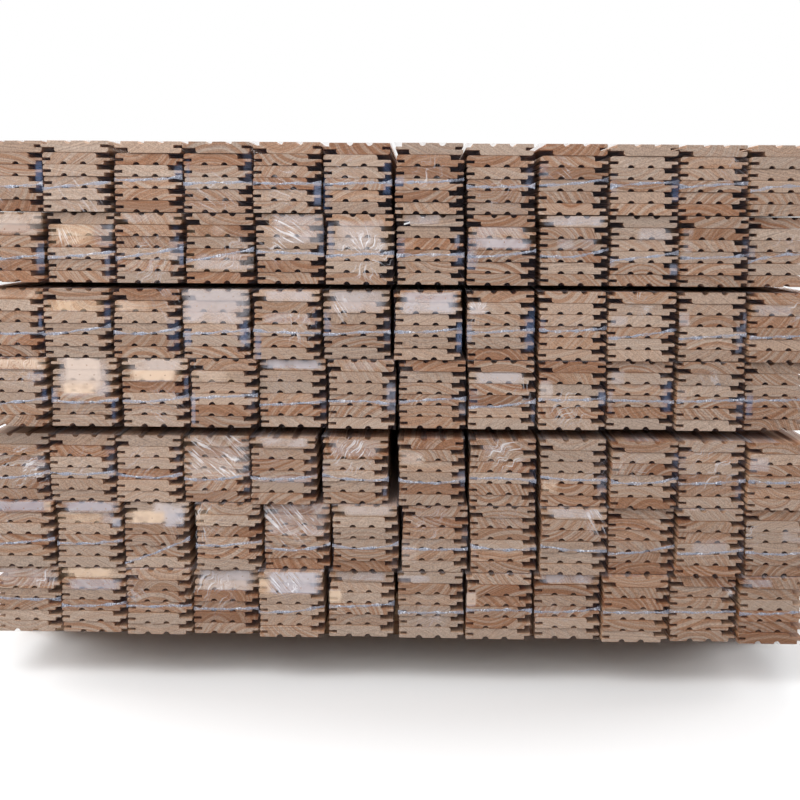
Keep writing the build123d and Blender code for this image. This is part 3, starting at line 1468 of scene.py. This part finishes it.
        marks = {Mark.FILM: np.column_stack([corners[:, 0], corners[:, 2], np.zeros(len(corners))]),
                 Mark.HAZE_GLARE: np.tile(haze_glare, (len(strip), 1)), Mark.FOLD: np.zeros(3)}
        maker.add(corners + np.array([self.left, 0.0, self.bottom]),
                  self.strip_faces(len(strip), len(across), end), marks, slot=1)

    @staticmethod
    def strip_faces(lines: int, steps: int, end: End) -> list[list[int]]:
        """List the faces of a closed strip across one end.

        Args:
            lines: How many lines of corners run along it.
            steps: How many corners each has.
            end: Which end it is.

        Returns:
            The faces, turned outwards.
        """
        faces = []
        for line in range(lines):
            near, far = line * steps, (line + 1) % lines * steps
            for step in range(steps - 1):
                faces.append([near + step, far + step, far + step + 1, near + step + 1])
        faces.append([line * steps for line in range(lines)][::-1])
        faces.append([line * steps + steps - 1 for line in range(lines)])
        return faces if end is End.FRONT else [face[::-1] for face in faces]


@dataclass
class FilmTier:
    """One tier's shrink film: a closed bag round each pack.

    Args:
        number: The tier, from the ground up.
        rng: The source of random numbers.
    """

    number: int
    rng: np.random.Generator

    @property
    def node(self) -> str:
        """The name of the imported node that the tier's film replaces."""
        return f"tier_{self.number}_film"

    def build(self, film: bpy.types.Material, seam: bpy.types.Material) -> bpy.types.Object:
        """Build the tier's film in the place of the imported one.

        Args:
            film: The material of the bags.
            seam: The material of the welds.

        Returns:
            The film, as one piece.
        """
        maker = MeshMaker(f"film_tier_{self.number}")
        blocks = sorted(blocks_of(self.node), key=lambda block: block.low[0])
        for column, block in enumerate(blocks):
            place = (self.number, column)
            weld = Weld(*WELDS[self.number - 1][column])
            FilmWrap(self.rng, block).add_to(maker, weld, GLARES.get(place, []), CREASES.get(place))
        piece = maker.build([film, seam], smooth_angle=60.0)
        piece.visible_shadow = False
        piece.visible_diffuse = False
        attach(piece, BODY)
        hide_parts(self.node)
        return piece


# How the front welds run, pack by pack from the left, for each tier from the ground up:
# the level of the middle, the tilt and the bow, in millimetres.
WELDS = [
    [(64, -1, -2), (54, 7, -3), (56, 3, -1), (49, 2, -1), (52, 12, -5), (60, 7, -2),
     (50, 2, -1), (57, 1, 1), (55, 8, -3), (58, 2, -1), (57, 2, -2), (59, 6, -2)],
    [(48, 12, -1), (48, 6, -3), (32, 49, -2), (50, 10, -3), (42, 8, -9), (49, 5, -8),
     (44, 0, -2), (47, -3, -5), (49, -8, -4), (45, 17, -4), (47, 9, -3), (45, 3, -5)],
    [(46, 12, -6), (53, 3, -4), (50, 0, -7), (46, 10, -6), (50, 5, -5), (48, -7, -5),
     (46, 1, -6), (51, -4, 3), (52, -4, -3), (51, 8, -6), (48, 7, -2), (53, 2, -3)],
    [(45, 14, -1), (46, 3, -4), (50, 11, -5), (57, 7, 0), (44, 8, -1), (49, -4, 3),
     (52, 8, 2), (45, 12, -3), (56, 3, -2), (53, -2, 0), (56, 5, 0), (56, 3, 0)],
    [(42, 2, 0), (49, 17, -1), (48, 10, -7), (47, 9, 0), (49, -3, -2), (47, 7, 2),
     (53, 8, -3), (52, 8, 0), (56, 6, -4), (49, 17, -2), (45, 9, 0), (47, 6, 0)],
    [(43, 12, 0), (49, 12, -1), (53, 20, -1), (50, 23, -1), (55, -3, 0), (53, 7, 1),
     (53, 2, 1), (55, 12, -3), (56, 13, -7), (52, 15, -1), (53, 6, -2), (54, 14, 6)],
    [(46, 2, -5), (46, 12, 0), (58, 6, -2), (52, 3, 1), (52, 1, -1), (53, 4, 1),
     (57, 5, -3), (49, 2, -1), (56, 12, -2), (55, 8, 2), (54, 8, 0), (50, 8, 5)],
]

# The patches of milky film and painted sky reflection over the front ends, by tier and column.
GLARES: dict[tuple[int, int], list[Glare]] = {
    (6, 0): [Glare(60, 103, 112, 34, 0.62, 0.45)],
    (6, 1): [Glare(50, 84, 74, 36, 0.55, 0.9), Glare(100, 84, 36, 36, 0.5)],
    (6, 2): [Glare(62, 113, 100, 15, 0.35, 0.2), Glare(104, 60, 20, 40, 0.4)],
    (6, 3): [Glare(70, 40, 112, 30, 0.5, 0.2), Glare(40, 92, 60, 18, 0.4, 0.5)],
    (6, 4): [Glare(75, 96, 92, 52, 0.6, 0.15)],
    (6, 5): [Glare(60, 86, 92, 54, 0.55, 0.2)],
    (6, 6): [Glare(45, 115, 64, 15, 0.55), Glare(20, 70, 24, 16, 0.45, 0.4)],
    (6, 7): [Glare(58, 73, 104, 19, 0.75), Glare(60, 94, 100, 17, 0.5, 0.1)],
    (6, 8): [Glare(60, 114, 104, 17, 0.6), Glare(66, 73, 70, 16, 0.45)],
    (6, 9): [Glare(78, 93, 62, 16, 0.5, 0.1)],
    (6, 10): [Glare(14, 80, 20, 42, 0.42)],
    (5, 0): [Glare(60, 113, 104, 16, 0.55, 0.7)],
    (5, 1): [Glare(58, 93, 84, 18, 0.55, 1.0)],
    (5, 2): [Glare(36, 92, 54, 18, 0.5, 0.7)],
    (5, 3): [Glare(60, 93, 118, 60, 0.66, 0.12)],
    (5, 4): [Glare(65, 113, 92, 17, 0.6, 0.1), Glare(60, 72, 90, 18, 0.4)],
    (5, 5): [Glare(62, 103, 100, 36, 0.6, 0.1)],
    (5, 6): [Glare(62, 103, 96, 36, 0.72)],
    (5, 7): [Glare(20, 93, 30, 22, 0.7, 0.2)],
    (5, 9): [Glare(20, 72, 32, 17, 0.5)],
    (5, 10): [Glare(10, 78, 20, 22, 0.6, 0.2)],
    (5, 11): [Glare(40, 93, 70, 16, 0.4)],
    (4, 0): [Glare(60, 113, 104, 17, 0.78, 0.7), Glare(100, 90, 30, 20, 0.5, -0.3)],
    (4, 1): [Glare(60, 90, 96, 72, 0.55), Glare(58, 96, 70, 58, 0.84, 0.62),
             Glare(50, 70, 62, 20, 0.9, 0.95)],
    (4, 2): [Glare(58, 112, 96, 20, 0.6, 0.3), Glare(58, 93, 84, 19, 0.86, 0.8)],
    (4, 3): [Glare(40, 93, 62, 17, 0.5, 0.7)],
    (4, 4): [Glare(60, 114, 104, 17, 0.82)],
    (4, 5): [Glare(60, 113, 62, 15, 0.45, 0.2)],
    (4, 7): [Glare(55, 94, 86, 18, 0.62, 0.1)],
    (4, 8): [Glare(15, 74, 24, 26, 0.6, 0.3)],
    (4, 9): [Glare(20, 95, 26, 22, 0.42)],
    (4, 10): [Glare(10, 66, 20, 24, 0.5, 0.2)],
    (3, 0): [Glare(90, 70, 50, 30, 0.45)],
    (3, 3): [Glare(66, 84, 112, 78, 0.5, 0.3)],
    (3, 4): [Glare(60, 114, 92, 16, 0.6, 0.2), Glare(60, 46, 100, 12, 0.5)],
    (3, 5): [Glare(60, 103, 92, 32, 0.5, 0.2)],
    (3, 6): [Glare(25, 86, 42, 22, 0.5, 0.5)],
    (3, 7): [Glare(50, 98, 60, 30, 0.4)],
    (3, 8): [Glare(18, 36, 26, 18, 0.62, 0.8)],
    (3, 9): [Glare(12, 76, 20, 22, 0.5, 0.4)],
    (3, 11): [Glare(20, 84, 36, 26, 0.45)],
    (2, 0): [Glare(56, 114, 104, 18, 0.7, -0.15), Glare(108, 114, 14, 18, 0.6, 0.8)],
    (2, 1): [Glare(62, 114, 100, 18, 0.72, -0.15), Glare(48, 93, 80, 19, 0.5, 0.9),
             Glare(94, 95, 24, 20, 0.6), Glare(110, 84, 16, 16, 0.7)],
    (2, 2): [Glare(84, 113, 62, 19, 0.74, 0.25), Glare(46, 95, 68, 26, 0.78, 0.85),
             Glare(92, 98, 40, 40, 0.8)],
    (2, 3): [Glare(18, 100, 34, 30, 0.5, 0.8)],
    (2, 4): [Glare(60, 94, 112, 58, 0.52, 0.1)],
    (2, 5): [Glare(62, 114, 92, 17, 0.6, 0.3)],
    (2, 6): [Glare(15, 34, 30, 32, 0.55, 0.4)],
    (2, 8): [Glare(60, 114, 96, 17, 0.62, 0.1)],
    (2, 10): [Glare(60, 56, 66, 26, 0.5)],
    (2, 11): [Glare(90, 80, 50, 28, 0.4)],
    (1, 0): [Glare(60, 104, 112, 34, 0.42, 0.1)],
    (1, 1): [Glare(55, 114, 94, 17, 0.62, 0.9), Glare(60, 93, 100, 17, 0.62, -0.1)],
    (1, 3): [Glare(62, 112, 104, 20, 0.72, 0.1), Glare(58, 93, 100, 18, 0.7, 0.3)],
    (1, 4): [Glare(64, 103, 94, 40, 0.86), Glare(12, 96, 22, 30, 0.72, 0.9)],
    (1, 5): [Glare(12, 76, 24, 26, 0.7, 0.9), Glare(60, 114, 92, 16, 0.45)],
    (1, 6): [Glare(30, 112, 60, 14, 0.5)],
    (1, 7): [Glare(10, 76, 18, 22, 0.7, 0.6)],
    (1, 8): [Glare(60, 114, 92, 17, 0.66)],
    (1, 11): [Glare(30, 113, 54, 15, 0.5)],
}

# The strongest creases over the front ends, by tier and column.
CREASES: dict[tuple[int, int], Crease] = {
    (7, 1): Crease(60, 20, 60, 0.7, -52.0),
    (7, 3): Crease(50, 25, 60, 0.7, -38.0),
    (7, 4): Crease(55, 45, 45, 0.7, -20.0),
    (7, 7): Crease(60, 32, 55, 0.6, 40.0),
    (6, 1): Crease(28, 70, 34, 0.8, -68.0),
    (6, 2): Crease(60, 38, 60, 0.7, 50.0),
    (6, 3): Crease(90, 50, 45, 0.6, 70.0),
    (6, 4): Crease(40, 80, 55, 1.0, -32.0),
    (6, 5): Crease(70, 50, 60, 1.0),
    (5, 4): Crease(80, 60, 40, 0.9, 80.0),
    (5, 5): Crease(25, 85, 34, 0.8, -60.0),
    (5, 7): Crease(20, 85, 30, 0.9),
    (4, 2): Crease(75, 40, 45, 0.8, -42.0),
    (4, 7): Crease(100, 72, 26, 0.9, 70.0),
    (3, 0): Crease(70, 60, 60, 0.9, 38.0),
    (3, 3): Crease(60, 85, 75, 1.0, -42.0),
    (3, 5): Crease(50, 90, 50, 1.0, 55.0),
    (3, 7): Crease(65, 95, 45, 1.0, 32.0),
    (3, 10): Crease(60, 80, 60, 0.9, 45.0),
    (2, 0): Crease(20, 80, 40, 0.7, -55.0),
    (2, 3): Crease(10, 90, 48, 1.0),
    (2, 4): Crease(40, 90, 65, 1.0, -48.0),
    (2, 6): Crease(50, 92, 45, 0.6, 35.0),
    (1, 2): Crease(20, 85, 40, 0.7, -50.0),
    (1, 3): Crease(30, 82, 55, 0.8, 62.0),
}


class Support(Enum):
    """The rows of sawn timber that carry the tiers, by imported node."""

    BEARERS = "ground_bearers"
    LOWER_LATHS = "lower_stickers"
    UPPER_LATHS = "upper_stickers"

    @property
    def slot(self) -> str:
        """The name of the record's material slot."""
        return "bearer_wood" if self is Support.BEARERS else "lath_wood"

    @property
    def easing(self) -> float:
        """How much of each long edge is worn off, in metres."""
        return 3.0 * MM if self is Support.BEARERS else 1.0 * MM


LATH_FINISH = WoodFinish("lath_wood", pale=(0.52, 0.40, 0.27), tan=(0.42, 0.29, 0.18),
                         roughness=0.75, saw_depth=0.0006, along_axis=0)
BEARER_FINISH = WoodFinish("bearer_wood", pale=(0.44, 0.35, 0.26), tan=(0.36, 0.27, 0.19),
                           roughness=0.8, saw_depth=0.0008, along_axis=0)


@dataclass
class SawnTimber:
    """Three rough-sawn pieces of one kind, lying across the stack.

    Args:
        kind: Which pieces they are.
        rng: The source of random numbers.
    """

    kind: Support
    rng: np.random.Generator
    segments: int = 40
    sides: int = 6
    roughness: float = 0.35 * MM
    end_easing: float = 1.0 * MM
    end_inset: float = 0.9 * MM
    nearest_pith: float = 5.0 * MM

    def outline(self, wide: float, high: float) -> np.ndarray:
        """Draw the section, anticlockwise as seen from the left end, with its edges worn.

        Args:
            wide: Its size along Y.
            high: Its size along Z.

        Returns:
            One row of the two sizes for each point, from the lower corner.
        """
        ease = self.kind.easing
        points = []
        lower, right = ((ease, 0.0), (wide - ease, 0.0)), ((wide, ease), (wide, high - ease))
        upper, left = ((wide - ease, high), (ease, high)), ((0.0, high - ease), (0.0, ease))
        for start, end in (lower, right, upper, left):
            points.extend(np.linspace(start, end, self.sides + 1))
        return np.array(points)

    def add_piece(self, maker: MeshMaker, block: Block) -> None:
        """Add one piece.

        Args:
            maker: Gathers the mesh.
            block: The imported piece's box.
        """
        wide, high = block.size[1], block.size[2]
        outline = self.outline(wide, high)
        around = len(outline)
        grain_draw = GrainDraw(self.rng, nearest_pith=self.nearest_pith)
        pith, marks = grain_draw.draw((wide / 2, high / 2))
        inward = (shrunk(outline, MM) - outline) / MM
        rings = []
        length = block.size[0]
        places = np.linspace(0.0, length, self.segments + 1)
        places = np.insert(places, [1, self.segments], [self.end_easing, length - self.end_easing])
        for index, along in enumerate(places):
            inset = self.end_inset if index in (0, len(places) - 1) else 0.0
            rough = self.rng.uniform(0.0, self.roughness, around)[:, None]
            ring = outline + inward * (rough + inset)
            rings.append(np.column_stack([np.full(around, along), ring[:, 0], ring[:, 1]]))
        corners = np.concatenate(rings)
        faces = [face[::-1] for face in closed_tube(len(rings), around)]
        grain = corners[:, [1, 0, 2]] - np.array([pith[0], 0.0, pith[1]])
        maker.add(corners + block.low, faces, {Mark.GRAIN: grain, **marks})

    def build(self, wood: bpy.types.Material) -> bpy.types.Object:
        """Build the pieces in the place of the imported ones.

        Args:
            wood: Their material.

        Returns:
            The pieces, as one.
        """
        maker = MeshMaker(f"sawn_{self.kind.value}")
        for block in blocks_of(self.kind.value):
            self.add_piece(maker, block)
        piece = maker.build([wood], smooth_angle=30.0)
        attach(piece, BODY)
        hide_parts(self.kind.value)
        return piece


def seen_directly(tree: bpy.types.NodeTree) -> Socket:
    """Tell what the camera, a gloss or a clear film sees from what only lights the object.

    Args:
        tree: The node tree to add the nodes to.

    Returns:
        A socket that is 1 where the surface is seen.
    """
    path = tree.nodes.new("ShaderNodeLightPath")
    total = path.outputs["Is Camera Ray"]
    for ray in ("Is Glossy Ray", "Is Transmission Ray"):
        added = tree.nodes.new("ShaderNodeMath")
        added.operation = "MAXIMUM"
        tree.links.new(total, added.inputs[0])
        tree.links.new(path.outputs[ray], added.inputs[1])
        total = added.outputs[0]
    return total


@dataclass(frozen=True)
class Lamp:
    """One soft rectangular lamp.

    Args:
        name: Its name.
        place: Where it hangs.
        aim: What it points at.
        size: How wide and high it is, in metres.
        power: Its power in watts.
    """

    name: str
    place: Triple
    aim: Triple
    size: Pair
    power: float

    def hang(self) -> None:
        """Add the lamp to the scene."""
        light = bpy.data.lights.new(self.name, "AREA")
        light.shape = "RECTANGLE"
        light.size, light.size_y = self.size
        light.energy = self.power
        made = bpy.data.objects.new(self.name, light)
        made.location = self.place
        way = Vector(self.aim) - Vector(self.place)
        made.rotation_euler = way.to_track_quat("-Z", "Y").to_euler()
        bpy.context.scene.collection.objects.link(made)


LAMPS = [
    Lamp("front_light", (-1.5, -3.5, 2.9), (-0.2, -1.5, 0.8), (2.6, 2.0), 88.0),
    Lamp("low_light", (-0.2, -6.4, 2.5), (0.0, -1.5, 0.7), (4.0, 1.8), 94.0),
    Lamp("top_light", (0.4, 1.2, 4.2), (0.0, 0.6, 0.9), (4.0, 3.0), 70.0),
    Lamp("back_light", (1.2, 7.0, 3.0), (0.0, 1.5, 0.5), (4.0, 3.0), 150.0),
    Lamp("left_light", (-5.0, 0.9, 2.6), (-0.7, 0.2, 0.5), (3.0, 2.5), 150.0),
    Lamp("right_light", (5.0, 0.9, 2.6), (0.7, 0.2, 0.5), (3.0, 2.5), 150.0),
]


@dataclass
class Studio:
    """The plain pale floor, the white backdrop, the soft light and the camera."""

    floor_size: float = 16.0
    floor_shade: float = 0.40
    seen_shade: float = 0.9
    floor_roughness: float = 0.8
    fade_range: Pair = (2.8, 6.5)
    sky_light: float = 0.52
    sky_colour: Triple = (0.95, 0.97, 1.0)
    lens: float = 60.75
    sensor: float = 36.0
    camera_place: Triple = (0.0427, -3.897, 0.852)
    camera_swing: float = 0.883
    camera_pitch: float = 82.382
    camera_roll: float = 0.388

    def floor(self) -> bpy.types.Object:
        """Lay the floor.

        Returns:
            The floor, marked as part of the stage.
        """
        half = self.floor_size / 2
        mesh = bpy.data.meshes.new("floor")
        corners = [(half * x, half * y, 0.0) for x, y in ((-1, -1), (1, -1), (1, 1), (-1, 1))]
        mesh.from_pydata(corners, [], [(0, 1, 2, 3)])
        mesh.materials.append(self.floor_material())
        made = bpy.data.objects.new("floor", mesh)
        bpy.context.scene.collection.objects.link(made)
        return made

    def floor_material(self) -> bpy.types.Material:
        """Make the floor's material.

        It is paler where it is seen than where it throws light back, and fades into the white
        backdrop well away from the stack.

        Returns:
            The material.
        """
        graph = Graph("floor")
        graph.material.cycles.emission_sampling = "NONE"
        seen = seen_directly(graph.tree)
        shade = graph.line(seen, self.seen_shade - self.floor_shade, self.floor_shade)
        measure = graph.node("ShaderNodeVectorMath", operation="LENGTH")
        graph.put(measure.inputs[0], graph.node("ShaderNodeNewGeometry").outputs["Position"])
        fade = graph.times(graph.span(measure.outputs["Value"], *self.fade_range), seen)
        shade = graph.times(shade, graph.math("SUBTRACT", 1.0, fade))
        return graph.finish(Base_Color=graph.grey(shade), Roughness=self.floor_roughness,
                            Emission_Color=WHITE, Emission_Strength=fade)

    def backdrop(self) -> None:
        """Make the world: white where it is seen, and an even soft light to everything else."""
        world = bpy.data.worlds.new("studio")
        bpy.context.scene.world = world
        world.use_nodes = True
        tree = world.node_tree
        tree.nodes.clear()
        output = tree.nodes.new("ShaderNodeOutputWorld")
        mix = tree.nodes.new("ShaderNodeMixShader")
        light, white = (tree.nodes.new("ShaderNodeBackground") for _ in range(2))
        light.inputs["Color"].default_value = (*self.sky_colour, 1.0)
        light.inputs["Strength"].default_value = self.sky_light
        white.inputs["Color"].default_value = (*WHITE, 1.0)
        tree.links.new(seen_directly(tree), mix.inputs[0])
        tree.links.new(light.outputs[0], mix.inputs[1])
        tree.links.new(white.outputs[0], mix.inputs[2])
        tree.links.new(mix.outputs[0], output.inputs[0])

    def camera(self) -> None:
        """Set up the camera, just below the top of the stack and looking a little down."""
        lens = bpy.data.cameras.new("camera")
        lens.lens = self.lens
        lens.sensor_width = self.sensor
        made = bpy.data.objects.new("camera", lens)
        turn = (Matrix.Rotation(math.radians(self.camera_swing), 4, "Z")
                @ Matrix.Rotation(math.radians(self.camera_pitch), 4, "X")
                @ Matrix.Rotation(math.radians(self.camera_roll), 4, "Z"))
        made.matrix_world = Matrix.Translation(self.camera_place) @ turn
        bpy.context.scene.collection.objects.link(made)
        bpy.context.scene.camera = made

    def build(self) -> None:
        """Build the whole studio."""
        self.floor()
        self.backdrop()
        for lamp in LAMPS:
            lamp.hang()
        self.camera()
        bpy.context.scene.view_settings.view_transform = "Standard"


def main() -> None:
    """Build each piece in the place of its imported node, then the studio, and note the sizes."""
    logging.basicConfig(level=logging.INFO, format="%(name)s: %(message)s")
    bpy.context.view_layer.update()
    rng = np.random.default_rng(20)
    board_wood = WoodFinish("board_wood").build()
    film, seam = FilmFinish().build(), SeamFinish().build()
    pieces = []
    for number in range(1, TIERS + 1):
        pieces.append(BoardTier(number, rng).build(board_wood))
        pieces.append(FilmTier(number, rng).build(film, seam))
    sawn = {Support.BEARERS: BEARER_FINISH.build(), Support.LOWER_LATHS: LATH_FINISH.build()}
    sawn[Support.UPPER_LATHS] = sawn[Support.LOWER_LATHS]
    for kind in Support:
        pieces.append(SawnTimber(kind, rng).build(sawn[kind]))
    for piece in pieces:
        LOG.info("%s: %d faces", piece.name, len(piece.data.polygons))
    Studio().build()
    bpy.context.view_layer.update()


if __name__ == "__main__":
    main()
